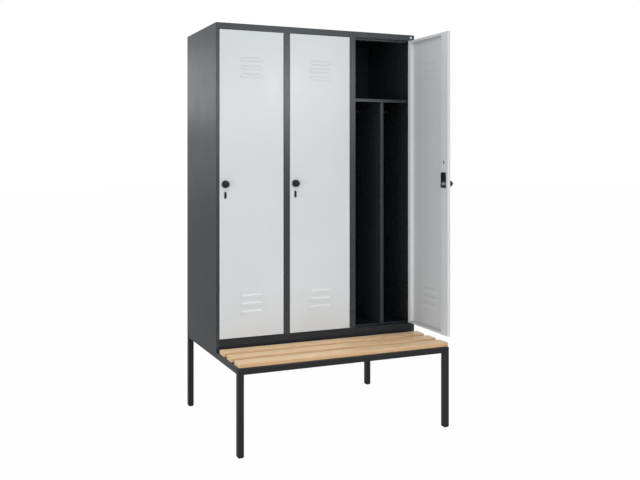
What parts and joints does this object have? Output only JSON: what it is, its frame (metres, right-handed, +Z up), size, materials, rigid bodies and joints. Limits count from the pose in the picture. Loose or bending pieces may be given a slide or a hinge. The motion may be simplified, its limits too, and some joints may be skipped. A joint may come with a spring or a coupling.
{
  "type": "three-compartment locker",
  "caption": "Steel clothes locker on a bench frame, with hinged louvred doors, turning knobs that draw bolts, shelves, partitions, clothes rails and a slatted bench in front.",
  "frame": {"origin": "on the floor, in the middle of the rectangle of the four feet", "axes": "+Z up, +Y to the back, +X to the right seen from the front"},
  "size_m": [1.2146, 0.8556, 2.13],
  "materials": {
    "anthracite_steel": "powder coat, fine texture, satin",
    "anthracite_frame": "powder coat, satin",
    "door_grey": "light grey powder coat, satin",
    "beech": "clear lacquered beech",
    "black_plastic": "fine matt",
    "bright_steel": "zinc plated",
    "buffer_rubber": "light grey rubber",
    "plug_grey": "satin"
  },
  "bodies": {
    "cabinet": {"leg_front_left": "anthracite_frame", "leg_front_right": "anthracite_frame", "leg_back_left": "anthracite_frame", "leg_back_right": "anthracite_frame", "foot_caps": "black_plastic", "frame_rail_front": "anthracite_frame", "frame_rail_middle": "anthracite_frame", "frame_rail_back": "anthracite_frame", "frame_rail_left": "anthracite_frame", "frame_rail_right": "anthracite_frame", "slat_bearer": "anthracite_frame", "slat_1": "beech", "slat_2": "beech", "slat_3": "beech", "slat_screws": "bright_steel", "side_left": "anthracite_steel", "side_right": "anthracite_steel", "divider_left": "anthracite_steel", "divider_right": "anthracite_steel", "top_panel": "anthracite_steel", "base_panel": "anthracite_steel", "back_panel": "anthracite_steel", "shelf_1": "anthracite_steel", "shelf_2": "anthracite_steel", "shelf_3": "anthracite_steel", "partition_1": "anthracite_steel", "partition_2": "anthracite_steel", "partition_3": "anthracite_steel", "clothes_rail_1": "bright_steel", "clothes_rail_2": "bright_steel", "clothes_rail_3": "bright_steel", "rail_brackets": "black_plastic", "hinge_pins": "bright_steel", "cabinet_bolts": "bright_steel", "badge_plug": "plug_grey", "door_buffers": "buffer_rubber"},
    "door_1": {"door_1_skin": "door_grey", "door_1_hinge_channel": "door_grey", "door_1_lock_channel": "door_grey", "door_1_lock_case": "black_plastic", "door_1_slot_cover": "black_plastic"},
    "knob_1": {"door_1_knob": "black_plastic", "door_1_shaft": "bright_steel"},
    "bolt_1": {"door_1_bolt": "bright_steel"},
    "door_2": {"door_2_skin": "door_grey", "door_2_hinge_channel": "door_grey", "door_2_lock_channel": "door_grey", "door_2_lock_case": "black_plastic", "door_2_slot_cover": "black_plastic"},
    "knob_2": {"door_2_knob": "black_plastic", "door_2_shaft": "bright_steel"},
    "bolt_2": {"door_2_bolt": "bright_steel"},
    "door_3": {"door_3_skin": "door_grey", "door_3_hinge_channel": "door_grey", "door_3_lock_channel": "door_grey", "door_3_lock_case": "black_plastic", "door_3_slot_cover": "black_plastic"},
    "knob_3": {"door_3_knob": "black_plastic", "door_3_shaft": "bright_steel"},
    "bolt_3": {"door_3_bolt": "bright_steel"}
  },
  "joints": [
    {"name": "door_1_hinge", "type": "hinge", "parent": "cabinet", "child": "door_1", "pos_m": [-0.2222, -0.0893, 1.295], "axis": [0, 0, 1], "range_deg": [0, 110]},
    {"name": "knob_1_turn", "type": "hinge", "parent": "door_1", "child": "knob_1", "pos_m": [-0.5495, -0.0925, 1.2942], "axis": [0, -1, 0], "range_deg": [0, 90]},
    {"name": "bolt_1_slide", "type": "slide", "parent": "door_1", "child": "bolt_1", "axis": [-1, 0, 0], "range_m": [0, 0.0071]},
    {"name": "door_2_hinge", "type": "hinge", "parent": "cabinet", "child": "door_2", "pos_m": [0.1778, -0.0893, 1.295], "axis": [0, 0, 1], "range_deg": [0, 110]},
    {"name": "knob_2_turn", "type": "hinge", "parent": "door_2", "child": "knob_2", "pos_m": [-0.1495, -0.0925, 1.2942], "axis": [0, -1, 0], "range_deg": [0, 90]},
    {"name": "bolt_2_slide", "type": "slide", "parent": "door_2", "child": "bolt_2", "axis": [-1, 0, 0], "range_m": [0, 0.0071]},
    {"name": "door_3_hinge", "type": "hinge", "parent": "cabinet", "child": "door_3", "pos_m": [0.5778, -0.0893, 1.295], "axis": [0, 0, 1], "range_deg": [-89.4, 20.6]},
    {"name": "knob_3_turn", "type": "hinge", "parent": "door_3", "child": "knob_3", "pos_m": [0.57757, -0.41662, 1.2942], "axis": [0.9999, -0.0105, 0], "range_deg": [0, 90]},
    {"name": "bolt_3_slide", "type": "slide", "parent": "door_3", "child": "bolt_3", "axis": [-0.0105, -0.9999, 0], "range_m": [0, 0.0071]}
  ],
  "couplings": [
    {"joint": "bolt_1_slide", "follows": "knob_1_turn", "m_per_rad": 0.004456},
    {"joint": "bolt_2_slide", "follows": "knob_2_turn", "m_per_rad": 0.004456},
    {"joint": "bolt_3_slide", "follows": "knob_3_turn", "m_per_rad": 0.004456}
  ]
}
